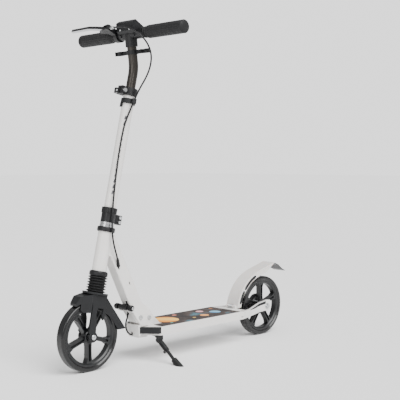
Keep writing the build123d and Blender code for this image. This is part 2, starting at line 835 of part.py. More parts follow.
skewer_u, skewer_s = 30, 712
cam_y = -21
with BuildPart() as clamp_collar:
    with BuildSketch(steering.offset(collar_low)):
        Circle(21.5)
        with Locations((28, 0)):
            Rectangle(20, 20)
    extrude(amount=collar_high - collar_low)
    with BuildSketch(steering.offset(collar_low)):
        Circle(tube_radius)
        with Locations((30, 0)):
            Rectangle(40, 3)
    extrude(amount=tube_head - collar_low, mode=Mode.SUBTRACT)
    with BuildSketch(steering.offset(tube_head)):
        Circle(upper_radius + running_gap)
        with Locations((30, 0)):
            Rectangle(40, 3)
    extrude(amount=collar_high - tube_head, mode=Mode.SUBTRACT)
    with BuildSketch(steer_side):
        with Locations((skewer_u, skewer_s)):
            Circle(2.5)
    extrude(amount=30, both=True, mode=Mode.SUBTRACT)
finish(clamp_collar, "clamp_collar")

with BuildPart() as skewer:
    with BuildSketch(steer_side.offset(-16)):
        with Locations((skewer_u, skewer_s)):
            Circle(2.5)
    extrude(amount=16 - cam_y)
    with BuildSketch(steering.offset(skewer_s - 2.7)):
        with Locations((skewer_u, cam_y)):
            Circle(5)
    extrude(amount=5.4)
    with BuildSketch(steering.offset(skewer_s - 7)):
        with Locations((skewer_u, cam_y)):
            Circle(2.5)
    extrude(amount=14)
    with BuildSketch(steer_side.offset(-10)):
        with Locations((skewer_u, skewer_s)):
            RegularPolygon(6.5, 6)
    extrude(amount=-6)
finish(skewer, "clamp_skewer")

with BuildPart() as clamp_lever:
    with BuildSketch(steering.offset(skewer_s - 7)):
        with Locations((skewer_u, cam_y)):
            Circle(8.5)
        with BuildLine():
            Polyline(
                (skewer_u + 2, cam_y - 8.2), (skewer_u - 14, cam_y - 8), (skewer_u - 44, cam_y - 3),
                (skewer_u - 62, cam_y + 4), (skewer_u - 62, cam_y), (skewer_u - 44, cam_y - 7.5),
                (skewer_u - 14, cam_y - 12.5), (skewer_u + 2, cam_y - 12), close=True,
            )
        make_face()
        with Locations((skewer_u, cam_y)):
            Circle(2.5 + running_gap, mode=Mode.SUBTRACT)
    extrude(amount=14)
    with BuildSketch(steering.offset(skewer_s - 3)):
        with Locations((skewer_u + 3, cam_y + 4.2)):
            Rectangle(27, 25)
    extrude(amount=6, mode=Mode.SUBTRACT)
finish(clamp_lever, "clamp_lever")

# ---- Telescoping T-bar -----------------------------------------------------------------------------
bar_s = (bar_height - wheel_radius + bar_reach * -lean_sin) / lean_cos
bend_s = 786
tube_end_s = 560
bar_centre = steering.offset(bar_s).from_local_coords((bar_reach, 0, 0))
neck_angle = rake - degrees(atan2(bar_reach, bar_s - bend_s))
neck_up = Vector(-sin(radians(neck_angle)), 0, cos(radians(neck_angle)))
# Plane square to the leaning top of the upper tube, through the handlebar's centre.
tee = Plane(bar_centre, x_dir=(neck_up.Z, 0, -neck_up.X), z_dir=neck_up)
tee_radius = 15
tee_half = 62
socket_radius = 18

with BuildPart() as upper_tube:
    with BuildLine(steer_side):
        FilletPolyline(
            (0, tube_end_s), (0, bend_s), (bar_reach * 0.84, bend_s + (bar_s - bend_s) * 0.84), radius=110,
        )
    with BuildSketch(steering.offset(tube_end_s)):
        Circle(upper_radius)
        Circle(12, mode=Mode.SUBTRACT)
    sweep()
    with BuildSketch(steering.offset(tube_end_s)):
        Circle(15 - running_gap)
        Circle(upper_radius, mode=Mode.SUBTRACT)
    extrude(amount=35)
finish(upper_tube, "upper_tube")

snap_y, snap_radius = 28, 4.5
snap_plane = Plane(bar_centre, x_dir=(0, 1, 0), z_dir=(cos(radians(22)), 0, -sin(radians(22))))
tube_top = (Vector(*bar_centre) - steering.offset(bend_s).from_local_coords((0, 0, 0))).length * 0.16
with BuildPart() as tee_joint:
    with BuildSketch(tee.offset(-36)):
        Circle(socket_radius)
    extrude(amount=36)
    with BuildSketch(across(bar_centre.X, bar_centre.Z)):
        Circle(tee_radius)
    extrude(amount=tee_half, both=True)
    with BuildSketch(across(bar_centre.X, bar_centre.Z)):
        Circle(handle_radius + running_gap)
    extrude(amount=tee_half, both=True, mode=Mode.SUBTRACT)
    with BuildSketch(across(bar_centre.X, bar_centre.Z)):
        Circle(handle_radius + running_gap)
    extrude(amount=8, both=True)
    with BuildSketch(tee.offset(-40)):
        Circle(upper_radius)
    extrude(amount=40 - tube_top, mode=Mode.SUBTRACT)
    with BuildSketch(snap_plane):
        with Locations((snap_y, 0), (-snap_y, 0)):
            Circle(snap_radius + running_gap)
    extrude(amount=30, mode=Mode.SUBTRACT)
finish(tee_joint, "tee_joint")

cover_half = 37
with BuildPart() as cover:
    with BuildSketch(Plane.XZ):
        with BuildLine():
            Polyline(
                (front_axle_x - 143, 972), (front_axle_x - 141, 996), (front_axle_x - 152, 1003),
                (front_axle_x - 183, 985), (front_axle_x - 189, 962), (front_axle_x - 186, 952),
                (front_axle_x - 166, 952), (front_axle_x - 150, 964), close=True,
            )
        make_face()
    extrude(amount=cover_half, both=True)
    with BuildSketch(across(bar_centre.X, bar_centre.Z)):
        Circle(tee_radius)
    extrude(amount=cover_half, both=True, mode=Mode.SUBTRACT)
    with BuildSketch(tee.offset(-60)):
        Circle(socket_radius + 0.2)
    extrude(amount=60, mode=Mode.SUBTRACT)
finish(cover, "bar_cover")

clip_drop = 52
clip_height = 12
clip_y = 56
with BuildPart() as handle_clip:
    with BuildSketch(tee.offset(-clip_drop - clip_height / 2)):
        Circle(17.5)
        for sign in (1, -1):
            with Locations((0, sign * 30)):
                Rectangle(5, 30)
            with Locations((0, sign * clip_y)):
                Circle(14)
        for sign in (1, -1):
            with Locations((0, sign * clip_y)):
                Circle(11, mode=Mode.SUBTRACT)
            with Locations((10, sign * (clip_y + 2))):
                Rectangle(20, 14, mode=Mode.SUBTRACT)
        Circle(upper_radius, mode=Mode.SUBTRACT)
    extrude(amount=clip_height)
finish(handle_clip, "handle_clip")

# ---- Handles, which pull out of the T-bar ------------------------------------------------------------
grip_start = 66
for hand, sign in (("left", 1), ("right", -1)):
    with BuildPart() as handle_tube:
        with BuildSketch(across(bar_centre.X, bar_centre.Z, sign * 9)):
            Circle(handle_radius)
            Circle(9, mode=Mode.SUBTRACT)
        extrude(amount=sign * (bar_half_width - 12))
    finish(handle_tube, f"handle_tube_{hand}")

    with BuildPart() as grip:
        with BuildSketch(Plane((bar_centre.X, 0, bar_centre.Z), x_dir=(0, sign, 0), z_dir=(sign, 0, 0))):
            with BuildLine():
                Polyline(
                    (grip_start, handle_radius), (grip_start, 16.5), (grip_start + 4, 16.5),
                    (grip_start + 6, 14), (grip_start + 14, grip_radius),
                    (bar_half_width - 3, grip_radius), (bar_half_width, grip_radius - 3),
                    (bar_half_width, 0), (bar_half_width - 3, 0), (bar_half_width - 3, handle_radius),
                    close=True,
                )
            make_face()
        revolve(axis=Axis((bar_centre.X, 0, bar_centre.Z), (0, 1, 0)))
    finish(grip, f"grip_{hand}")

for hand, sign in (("left", 1), ("right", -1)):
    with BuildPart() as snap_button:
        with BuildSketch(snap_plane.offset(handle_radius + 2.6)):
            with Locations((sign * snap_y, 0)):
                Circle(snap_radius)
        extrude(amount=4.4)
        fillet(snap_button.edges().filter_by(GeomType.CIRCLE).group_by(Axis.X)[-1], 1)
    finish(snap_button, f"snap_button_{hand}")

# ---- Brake lever ------------------------------------------------------------------------------------
lever_tilt = 24
lever_plane = Plane(
    bar_centre,
    x_dir=(cos(radians(lever_tilt)), 0, sin(radians(lever_tilt))),
    z_dir=(-sin(radians(lever_tilt)), 0, cos(radians(lever_tilt))),
)
clamp_mid_y = -51
pivot_d, pivot_y = 40, -60
blade_half = 4.5

with BuildPart() as lever_bracket:
    with BuildSketch(across(bar_centre.X, bar_centre.Z, clamp_mid_y)):
        Circle(19.5)
    extrude(amount=8, both=True)
    with BuildSketch(lever_plane):
        with BuildLine():
            Polyline(
                (14, -43), (52, -43), (55, -48), (52, -66), (44, -90), (37, -92), (30, -66),
                (14, -59), close=True,
            )
        make_face()
    extrude(amount=8, both=True)
    with BuildSketch(across(bar_centre.X, bar_centre.Z, clamp_mid_y)):
        Circle(tee_radius)
    extrude(amount=40, both=True, mode=Mode.SUBTRACT)
    with BuildSketch(lever_plane):
        with BuildLine():
            Polyline((28, -49), (58, -49), (58, -100), (28, -100), close=True)
        make_face()
    extrude(amount=blade_half + body_gap, both=True, mode=Mode.SUBTRACT)
    with BuildSketch(lever_plane):
        with Locations((pivot_d, pivot_y)):
            Circle(2.5)
    extrude(amount=8, both=True)
finish(lever_bracket, "lever_bracket")

with BuildPart() as brake_lever:
    with BuildSketch(lever_plane):
        with BuildLine():
            Polyline(
                (36, -51), (44, -51), (50, -66), (58, -92), (64.5, -122), (63, -204), (59, -208),
                (54.5, -204), (54.5, -124), (48, -98), (40, -78), (35, -66), close=True,
            )
        make_face()
        with Locations((pivot_d, pivot_y)):
            Circle(2.5 + running_gap, mode=Mode.SUBTRACT)
    extrude(amount=blade_half, both=True)
    chamfer(brake_lever.faces().sort_by(Axis(bar_centre, lever_plane.z_dir))[-1].outer_wire().edges(), 1)
finish(brake_lever, "brake_lever")

barrel_d = 45
barrel_plane = Plane(
    lever_plane.from_local_coords((barrel_d, -43, 0)), x_dir=lever_plane.x_dir, z_dir=(0, 1, 0),
)
with BuildPart() as barrel_adjuster:
    with BuildSketch(barrel_plane):
        Circle(4.8)
        with PolarLocations(5.1, 12):
            Circle(0.6, mode=Mode.SUBTRACT)
    extrude(amount=12)
    with BuildSketch(barrel_plane.offset(12)):
        Circle(3.4)
    extrude(amount=6)
finish(barrel_adjuster, "barrel_adjuster")

# ---- Kickstand --------------------------------------------------------------------------------------
stand_x, stand_y, stand_z = 155, 55, 63.6
leg_tilt = 37.8  # of the leg below the horizontal
leg_y, leg_z = cos(radians(leg_tilt)), sin(radians(leg_tilt))
stand_pivot = Vector(stand_x, stand_y, stand_z)
stand_along = Vector(0, leg_y, -leg_z)
stand_hinge = Vector(0, leg_z, leg_y)
# Square to the hinge pin: x runs down the leg.
stand_plane = Plane(stand_pivot, x_dir=stand_along, z_dir=stand_hinge)
leg_length = stand_z / leg_z
knuckle_half = 4


def leg_plane(distance):
    """Plane square to the leg, at a distance from its pivot."""
    return Plane(stand_pivot + stand_along * distance, x_dir=(1, 0, 0), z_dir=stand_along)


with BuildPart() as stand_bracket:
    with BuildSketch(Plane.XY.offset(deck_bottom)):
        with Locations((stand_x, 35)):
            Rectangle(22, 52)
    extrude(amount=-4)
    with BuildSketch(stand_plane.offset(knuckle_half + body_gap)):
        with Locations((-4, 0)):
            Rectangle(32, 22)
    extrude(amount=30)
    with BuildSketch(Plane.YZ.offset(stand_x - 15)):
        with BuildLine():
            Polyline((9, 60), (9, deck_bottom), (61, deck_bottom), (61, 50), (40, 50), close=True)
        make_face()
    extrude(amount=30, mode=Mode.INTERSECT)
    with BuildSketch(stand_plane.offset(-knuckle_half - body_gap)):
        Circle(axle_radius)
    extrude(amount=10)
    with BuildSketch(stand_plane.offset(-knuckle_half - body_gap)):
        Circle(7)
    extrude(amount=-3)
finish(stand_bracket, "kickstand_bracket")

with BuildPart() as stand_knuckle:
    with BuildSketch(stand_plane.offset(-knuckle_half)):
        Circle(10)
        with Locations((12, 0)):
            Rectangle(20, 14)
        Circle(axle_radius + running_gap, mode=Mode.SUBTRACT)
    extrude(amount=2 * knuckle_half)
    with BuildSketch(leg_plane(13)):
        Circle(8)
    extrude(amount=30)
    with BuildSketch(leg_plane(36)):
        with Locations((0, 8)):
            Rectangle(8, 10)
    extrude(amount=7)
    with BuildSketch(leg_plane(20)):
        Circle(5)
    extrude(amount=30, mode=Mode.SUBTRACT)
finish(stand_knuckle, "kickstand_knuckle")

with BuildPart() as stand_leg:
    with BuildSketch(leg_plane(20)):
        Circle(5)
    extrude(amount=leg_length - 34)
finish(stand_leg, "kickstand_leg")

with BuildPart() as stand_foot:
    with BuildSketch(leg_plane(leg_length - 24)):
        Circle(9)
    extrude(amount=40, taper=-4)
    with BuildSketch(leg_plane(leg_length - 24)):
        Circle(5)
    extrude(amount=10, mode=Mode.SUBTRACT)
    with BuildSketch(Plane.XY):
        with Locations((stand_x, 120)):
            Rectangle(120, 160)
    extrude(amount=-60, mode=Mode.SUBTRACT)
finish(stand_foot, "kickstand_foot")

# ---- Brake cable, in three lengths that meet at the joints -----------------------------------------------
def cable(name, points, radius=cable_radius):
    """Round cable on straight runs joined by tangent arcs as large as the runs allow."""
    runs = [b - a for a, b in zip(points, points[1:])]
    radii = []
    for before, after in zip(runs, runs[1:]):
        half_turn = radians(before.get_angle(after)) / 2
        radii.append(0.45 * min(before.length, after.length) / tan(half_turn))
    with BuildPart() as tube:
        with BuildLine():
            route = FilletPolyline(*points, radius=radii)
        with BuildSketch(Plane(route @ 0, z_dir=route % 0)):
            Circle(radius)
        sweep()
    expected = pi * radius**2 * route.length
    print(name, "length", round(route.length), "smallest radius", round(min(radii), 1),
          "volume ratio", round(tube.part.volume / expected, 4))
    finish(tube, name)


def from_axle(*points):
    """Points given from the front axle's place on the ground."""
    return [Vector(front_axle_x + x, y, z) for x, y, z in points]


# The lengths meet inside the guide ring and at the hole in the down tube.
barrel_mouth = barrel_plane.offset(18).origin
ring_centre = steering.offset((guide_low + guide_high) / 2).from_local_coords((guide_u, guide_v, 0))
ring_run = Vector(9, -6, -25)
cable("brake_cable_upper", [
    barrel_mouth, barrel_mouth + Vector(0, 22, 0),
    *from_axle(
        (-129, 26, 979), (-137, 53, 966), (-147, 75, 947), (-160, 86, 921), (-171, 84, 893),
        (-175, 73, 863), (-173, 57, 834),
    ),
    ring_centre - ring_run * 1.3, ring_centre,
])
cable("brake_cable_lower", [
    ring_centre, ring_centre + ring_run * 1.3,
    *from_axle(
        (-126, 16, 700), (-113, 15.5, 652), (-101, 16.5, 600), (-91, 18, 548), (-81, 20.5, 496),
        (-71, 26.5, 450), (-66, 30, 410), (-67, 31.5, 374), (-76, 31, 342),
    ),
    cable_entry - cable_entry_run * 1.1, cable_entry,
])
cable("brake_cable_rear", [
    cable_entry, cable_entry + cable_entry_run * 1.1,
    Vector(257, 5, 237), Vector(238, -2, 200), Vector(222, -6, 165), Vector(224, -6, 138),
    Vector(236, -5, 112), Vector(228, -4, 86), Vector(203, -4, 76), Vector(165, -3.5, 83.5),
    Vector(99, -2, 83), Vector(33, -4, 84), Vector(-33, -2, 83), Vector(-99, -4, 84),
    Vector(-165, -2, 83.5), Vector(-222, -5, 83.5), Vector(-257, -14, 80),
    Vector(-293, -24.4, 72.5), Vector(-332.8, -24.8, 68),
])
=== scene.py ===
"""Folding kick scooter: finishes, soft parts, small fittings, light and camera, in metres.

+X is forward, +Y the rider's left, +Z up, with the origin on the ground, as in the CAD.
"""

from math import cos, pi, radians, sin

import bmesh
import bpy
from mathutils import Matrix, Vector


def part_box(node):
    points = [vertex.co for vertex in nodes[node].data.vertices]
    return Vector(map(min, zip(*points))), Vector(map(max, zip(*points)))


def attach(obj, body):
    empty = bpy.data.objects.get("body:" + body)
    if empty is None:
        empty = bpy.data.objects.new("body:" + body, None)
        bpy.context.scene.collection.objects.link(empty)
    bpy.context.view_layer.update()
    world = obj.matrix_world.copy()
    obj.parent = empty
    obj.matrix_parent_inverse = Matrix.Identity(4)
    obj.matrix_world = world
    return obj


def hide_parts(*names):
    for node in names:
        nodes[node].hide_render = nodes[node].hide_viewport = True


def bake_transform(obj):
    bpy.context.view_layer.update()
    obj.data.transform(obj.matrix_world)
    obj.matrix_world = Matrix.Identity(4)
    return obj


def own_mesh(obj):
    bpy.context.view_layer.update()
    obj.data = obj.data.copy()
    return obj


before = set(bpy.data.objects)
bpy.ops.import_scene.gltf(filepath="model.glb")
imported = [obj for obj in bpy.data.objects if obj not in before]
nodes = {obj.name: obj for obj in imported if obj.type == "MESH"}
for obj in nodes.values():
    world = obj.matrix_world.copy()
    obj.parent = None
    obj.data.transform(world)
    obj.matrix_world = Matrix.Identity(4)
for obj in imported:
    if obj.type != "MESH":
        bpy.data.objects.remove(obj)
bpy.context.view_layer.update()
mm = 0.001

# ---- Places taken from the frame -----------------------------------------------------------------
rake = radians(13.05)
up_stem = Vector((-sin(rake), 0, cos(rake)))
ahead_of_stem = Vector((cos(rake), 0, sin(rake)))
left = Vector((0, 1, 0))
front_axle = sum(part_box("front_axle"), Vector()) / 2
front_axle.y = 0
rear_axle = sum(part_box("rear_axle"), Vector()) / 2
rear_axle.y = 0
bar_centre = sum(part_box("handle_tube_left"), Vector()) / 2
bar_centre.y = 0
# Painted shade: the mudguard's tail is painted dark from 58 mm ahead of its rear end, for its shaded
# underside.
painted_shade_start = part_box("foot_brake")[0].x + 58 * mm
hands = (("left", 1), ("right", -1))


def on_stem(forward, sideways, height):
    """Point given in millimetres along and across the steering axis, from the front axle."""
    return front_axle + (ahead_of_stem * forward + left * sideways + up_stem * height) * mm


# ---- Materials -----------------------------------------------------------------------------------
def srgb(code):
    """Linear colour of an sRGB hex value."""
    parts = [int(code[i:i + 2], 16) / 255 for i in (1, 3, 5)]
    return [p / 12.92 if p <= 0.04045 else ((p + 0.055) / 1.055) ** 2.4 for p in parts] + [1]


def per(size_mm):
    """Texture scale that makes one grain, thread or wave this many millimetres across."""
    return 1 / (size_mm * mm)


def add(tree, kind, inputs=None, **settings):
    """A node with its settings; an input is a value or the socket that feeds it."""
    node = tree.nodes.new(kind)
    for name, value in settings.items():
        setattr(node, name, value)
    for name, value in (inputs or {}).items():
        if isinstance(value, bpy.types.NodeSocket):
            tree.links.new(value, node.inputs[name])
        else:
            node.inputs[name].default_value = value
    return node


def new_material(name, shader_values):
    """Material with a shader on its output; returns it with its tree, shader and place socket."""
    material = bpy.data.materials.new(name)
    material.use_nodes = True
    tree = material.node_tree
    tree.nodes.clear()
    shader = add(tree, "ShaderNodeBsdfPrincipled", shader_values)
    add(tree, "ShaderNodeOutputMaterial", {"Surface": shader.outputs["BSDF"]})
    place = add(tree, "ShaderNodeTexCoord").outputs["Object"]
    return material, tree, shader, place


def grain(tree, shader, place, size_mm, height_mm, strength, detail=2.0):
    """Raised grain of a real size on the surface; returns its pattern."""
    pattern = add(tree, "ShaderNodeTexNoise", {"Vector": place, "Scale": per(size_mm), "Detail": detail})
    bump = add(tree, "ShaderNodeBump", {
        "Height": pattern.outputs["Fac"], "Strength": strength, "Distance": height_mm * mm,
    })
    tree.links.new(bump.outputs["Normal"], shader.inputs["Normal"])
    return pattern.outputs["Fac"]


def vary(tree, shader, place, size_mm, low, high, socket="Roughness"):
    """Slow change of a number over the surface, as handling and casting leave it."""
    patch = add(tree, "ShaderNodeTexNoise", {"Vector": place, "Scale": per(size_mm), "Detail": 3.0})
    spread = add(tree, "ShaderNodeMapRange", {
        "Value": patch.outputs["Fac"], "From Min": 0.3, "From Max": 0.7, "To Min": low, "To Max": high,
    })
    tree.links.new(spread.outputs["Result"], shader.inputs[socket])
    return patch.outputs["Fac"]


def tint(tree, shader, pattern, dark, light):
    """Two close colours mixed by a pattern."""
    mix = add(tree, "ShaderNodeMix", {"Factor": pattern}, data_type="RGBA")
    mix.inputs["A"].default_value = srgb(dark)
    mix.inputs["B"].default_value = srgb(light)
    tree.links.new(mix.outputs["Result"], shader.inputs["Base Color"])


def powder_coat_white():
    """Baked white powder on aluminium: soft gloss with a faint orange-peel ripple."""
    material, tree, shader, place = new_material(
        "powder_coated_aluminium_white", {"IOR": 1.5, "Coat Weight": 0.2}
    )
    patch = vary(tree, shader, place, 45, 0.3, 0.4)
    tint(tree, shader, patch, "#d4d1ce", "#e2e0dd")
    grain(tree, shader, place, 2.2, 0.05, 0.12)
    return material


def anodised_black():
    """Black anodised and bead-blasted aluminium: satin, with a fine even grain."""
    material, tree, shader, place = new_material(
        "anodised_aluminium_black", {"IOR": 1.5, "Specular IOR Level": 0.35}
    )
    patch = vary(tree, shader, place, 14, 0.34, 0.5)
    tint(tree, shader, patch, "#08080a", "#121214")
    grain(tree, shader, place, 0.8, 0.05, 0.25)
    return material


def anodised_gunmetal():
    """Gunmetal anodised tube, drawn along its length: long fine streaks in a metal gloss."""
    material, tree, shader, place = new_material("anodised_aluminium_gunmetal", {"Metallic": 0.85})
    drawn = add(tree, "ShaderNodeMapping", {"Vector": place, "Scale": (1, 1, 0.01), "Rotation": (0, rake, 0)})
    streak = add(tree, "ShaderNodeTexNoise", {
        "Vector": drawn.outputs["Vector"], "Scale": per(0.9), "Detail": 2.0,
    })
    tint(tree, shader, streak.outputs["Fac"], "#2c2a28", "#4e4a46")
    spread = add(tree, "ShaderNodeMapRange", {"Value": streak.outputs["Fac"], "To Min": 0.22, "To Max": 0.4})
    tree.links.new(spread.outputs["Result"], shader.inputs["Roughness"])
    bump = add(tree, "ShaderNodeBump", {
        "Height": streak.outputs["Fac"], "Strength": 0.1, "Distance": 0.03 * mm,
    })
    tree.links.new(bump.outputs["Normal"], shader.inputs["Normal"])
    return material


def moulded_nylon():
    """Glass-filled nylon, moulded in a spark-eroded tool: matte black with a pebble grain."""
    material, tree, shader, place = new_material(
        "moulded_nylon_black", {"IOR": 1.53, "Specular IOR Level": 0.3}
    )
    patch = vary(tree, shader, place, 20, 0.42, 0.58)
    tint(tree, shader, patch, "#0b0c0e", "#151618")
    # The tool's grain is 0.3 mm; it is drawn at 1 mm so that it shows.
    grain(tree, shader, place, 1.0, 0.08, 0.3)
    return material


def moulded_abs():
    """White ABS, moulded: a bright, slightly soft skin, with painted shade in dark grey on its tail for its
    shaded underside.
    """
    material, tree, shader, place = new_material(
        "moulded_abs_white", {"IOR": 1.53, "Subsurface Weight": 0.05, "Subsurface Scale": 1.5 * mm}
    )
    patch = vary(tree, shader, place, 30, 0.34, 0.46)
    # Painted shade: the tail behind this point turns dark grey in place of the shade under its lip.
    painted_tail_shade = add(tree, "ShaderNodeMapRange", {
        "Value": add(tree, "ShaderNodeSeparateXYZ", {"Vector": place}).outputs["X"],
        "From Min": painted_shade_start, "From Max": painted_shade_start - 1 * mm,
    }).outputs["Result"]
    body = add(tree, "ShaderNodeMix", {"Factor": patch}, data_type="RGBA")
    body.inputs["A"].default_value = srgb("#cdc8c4")
    body.inputs["B"].default_value = srgb("#dcd8d4")
    skin = add(tree, "ShaderNodeMix", {"Factor": painted_tail_shade, "A": body.outputs["Result"]}, data_type="RGBA")
    skin.inputs["B"].default_value = srgb("#2c2c2e")
    tree.links.new(skin.outputs["Result"], shader.inputs["Base Color"])
    grain(tree, shader, place, 3.0, 0.05, 0.12)
    return material


def cast_polyurethane():
    """Cast polyurethane tyre: glossy black, with dust dulling it in patches."""
    material, tree, shader, place = new_material(
        "cast_polyurethane_black", {"IOR": 1.5, "Specular IOR Level": 0.4, "Coat Weight": 0.1}
    )
    patch = vary(tree, shader, place, 25, 0.2, 0.36)
    tint(tree, shader, patch, "#050506", "#0d0d0e")
    grain(tree, shader, place, 1.6, 0.04, 0.15)
    return material


def moulded_wheel():
    """Moulded nylon wheel centre: satin black, smoother than the mudguards."""
    material, tree, shader, place = new_material(
        "moulded_nylon_wheel", {"IOR": 1.53, "Specular IOR Level": 0.4}
    )
    patch = vary(tree, shader, place, 22, 0.26, 0.4)
    tint(tree, shader, patch, "#07080a", "#101113")
    grain(tree, shader, place, 1.4, 0.05, 0.15)
    return material


def moulded_rubber(name, dark, light, rough):
    """Moulded elastomer: dull and soft to the eye, with a slight bloom in patches."""
    material, tree, shader, place = new_material(
        name, {"IOR": 1.52, "Specular IOR Level": 0.3, "Sheen Weight": 0.04, "Sheen Roughness": 0.5}
    )
    patch = vary(tree, shader, place, 12, rough - 0.08, rough + 0.08)
    tint(tree, shader, patch, dark, light)
    grain(tree, shader, place, 0.9, 0.08, 0.3)
    return material


def plated_steel():
    """Zinc-plated steel: bright grey metal with a patchy, faintly blue plating."""
    material, tree, shader, place = new_material("zinc_plated_steel", {"Metallic": 1.0})
    patch = vary(tree, shader, place, 6, 0.22, 0.38)
    tint(tree, shader, patch, "#b4b7bb", "#d6d6d4")
    grain(tree, shader, place, 0.6, 0.02, 0.15)
    return material


def forged_lever():
    """Forged aluminium lever, black on its outer faces and left bright under the blade."""
    material, tree, shader, place = new_material("forged_aluminium_lever", {"Roughness": 0.34})
    facing = add(tree, "ShaderNodeSeparateXYZ", {
        "Vector": add(tree, "ShaderNodeNewGeometry").outputs["Normal"],
    })
    under = add(tree, "ShaderNodeMapRange", {
        "Value": facing.outputs["Z"], "From Min": -0.2, "From Max": -0.5,
    }).outputs["Result"]
    tint(tree, shader, under, "#0a0a0c", "#c9cacc")
    tree.links.new(under, shader.inputs["Metallic"])
    grain(tree, shader, place, 0.8, 0.03, 0.2)
    return material


def cut_vinyl_film():
    """Grey vinyl film, cut to shape and laid on paint."""
    material, tree, shader, place = new_material("cut_vinyl_film_grey", {"IOR": 1.5})
    patch = vary(tree, shader, place, 20, 0.35, 0.45)
    tint(tree, shader, patch, "#4a4a4d", "#5c5c60")
    return material


# Painted worlds on the grip tape: centre (x, y) and radius in millimetres, two band colours.
tape_worlds = [
    (74, -5, 44, "#e8902c", "#f6c66a"),
    (-68, 28, 15, "#e0702a", "#f2a862"),
    (-104, -29, 13, "#d48a94", "#efc0c0"),
    (-136, 10, 19, "#3d7fae", "#8fc3dc"),
    (0, -40, 8, "#b8544a", "#d98a78"),
    (-16, 34, 6, "#c9a24a", "#ead394"),
    (96, 48, 5, "#4f9a8a", "#9bd0c2"),
    (-172, -44, 7, "#b06a3a", "#dba36c"),
    (134, -52, 6, "#6f5fa8", "#a99bd2"),
]


def printed_grip_tape():
    """Grit bonded on printed film: dark, very rough, with a soft night sky and banded worlds."""
    material, tree, shader, place = new_material("printed_grit_tape", {"Roughness": 0.82, "IOR": 1.5})
    cloud = add(tree, "ShaderNodeTexNoise", {
        "Vector": place, "Scale": per(70), "Detail": 5.0, "Distortion": 0.6,
    })
    sky = add(tree, "ShaderNodeValToRGB", {"Fac": cloud.outputs["Fac"]})
    sky.color_ramp.elements[0].position = 0.38
    sky.color_ramp.elements[0].color = srgb("#2a2526")
    sky.color_ramp.elements[1].position = 0.72
    sky.color_ramp.elements[1].color = srgb("#6a7f8c")
    for position, code in ((0.48, "#38302e"), (0.56, "#4a3f3c"), (0.64, "#3f6470")):
        sky.color_ramp.elements.new(position).color = srgb(code)
    colour = sky.outputs["Color"]
    bands = add(tree, "ShaderNodeTexWave", {
        "Vector": place, "Scale": per(9) / 20, "Distortion": 3.0, "Detail": 3.0,
    }, wave_type="BANDS", bands_direction="DIAGONAL").outputs["Fac"]
    for x, y, radius, dark, light in tape_worlds:
        away = add(tree, "ShaderNodeVectorMath", {
            0: place, 1: (x * mm, y * mm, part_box("grip_tape")[1].z),
        }, operation="DISTANCE").outputs["Value"]
        inside = add(tree, "ShaderNodeMapRange", {
            "Value": away, "From Min": radius * mm, "From Max": (radius - 0.8) * mm,
        }).outputs["Result"]
        world = add(tree, "ShaderNodeMix", {"Factor": bands}, data_type="RGBA")
        world.inputs["A"].default_value = srgb(dark)
        world.inputs["B"].default_value = srgb(light)
        laid = add(tree, "ShaderNodeMix", {
            "Factor": inside, "A": colour, "B": world.outputs["Result"],
        }, data_type="RGBA")
        colour = laid.outputs["Result"]
    grit = grain(tree, shader, place, 1.3, 0.35, 0.7, detail=4.0)
    speck = add(tree, "ShaderNodeMapRange", {
        "Value": grit, "From Min": 0.62, "From Max": 0.75, "To Max": 0.35,
    })
    shown = add(tree, "ShaderNodeMix", {"Factor": speck.outputs["Result"], "A": colour}, data_type="RGBA")
    shown.inputs["B"].default_value = srgb("#0d0d0e")
    tree.links.new(shown.outputs["Result"], shader.inputs["Base Color"])
    return material


white_paint = powder_coat_white()
black_alloy = anodised_black()
gunmetal = anodised_gunmetal()
nylon = moulded_nylon()
white_abs = moulded_abs()
tyre_cast = cast_polyurethane()
wheel_nylon = moulded_wheel()
grip_rubber = moulded_rubber("moulded_grip_rubber", "#0a0a0b", "#131315", 0.62)
seal_rubber = moulded_rubber("moulded_bellows_rubber", "#070708", "#101011", 0.5)
cable_vinyl = moulded_rubber("extruded_vinyl_cable", "#08080a", "#101012", 0.38)
zinc = plated_steel()
lever_metal = forged_lever()
trim_film = cut_vinyl_film()
tape_print = printed_grip_tape()

finishes = {
    white_paint: (
        "deck", "rear_stays", "fold_plates", "down_tube", "head_tube", "stem_tube", "foot_brake_base",
        "fold_base",
    ),
    gunmetal: ("upper_tube",),
    black_alloy: (
        "stem_clamp", "clamp_collar", "lever_bracket", "kickstand_bracket", "kickstand_knuckle",
        "brake_housing", "brake_arm", "headset", "latch_bar", "latch_bolt", "tee_joint",
        "kickstand_leg",
    ),
    nylon: (
        "fork", "front_mudguard", "corner_caps", "bar_cover", "handle_clip", "guide_collar",
        "clamp_lever", "snap_button_left", "snap_button_right",
    ),
    white_abs: ("foot_brake",),
    wheel_nylon: ("front_rim", "rear_rim"),
    tyre_cast: ("front_tyre", "rear_tyre"),
    seal_rubber: ("bellows", "brake_pad", "kickstand_foot"),
    grip_rubber: ("grip_left", "grip_right"),
    zinc: (
        "fold_bolts", "front_axle", "rear_axle", "clamp_bolts", "clamp_skewer", "barrel_adjuster",
        "handle_tube_left", "handle_tube_right", "front_bearings", "rear_bearings", "brake_drum",
        "steerer", "fork_slider", "fork_spring", "stack_spacers",
    ),
    lever_metal: ("brake_lever",),
    tape_print: ("grip_tape",),
    cable_vinyl: ("brake_cable_upper", "brake_cable_lower", "brake_cable_rear"),
}
for finish_material, names in finishes.items():
    for name in names:
        for holder in nodes[name].material_slots:
            holder.material = finish_material

# ---- Camera --------------------------------------------------------------------------------------
camera = bpy.data.objects.new("camera", bpy.data.cameras.new("camera"))
bpy.context.scene.collection.objects.link(camera)
camera.location = (1.9096, 1.9214, 0.5935)
camera.rotation_euler = (radians(90 - 2.543), 0, radians(134.05))
camera.data.lens = 78.14
camera.data.sensor_width = 36
bpy.context.scene.camera = camera


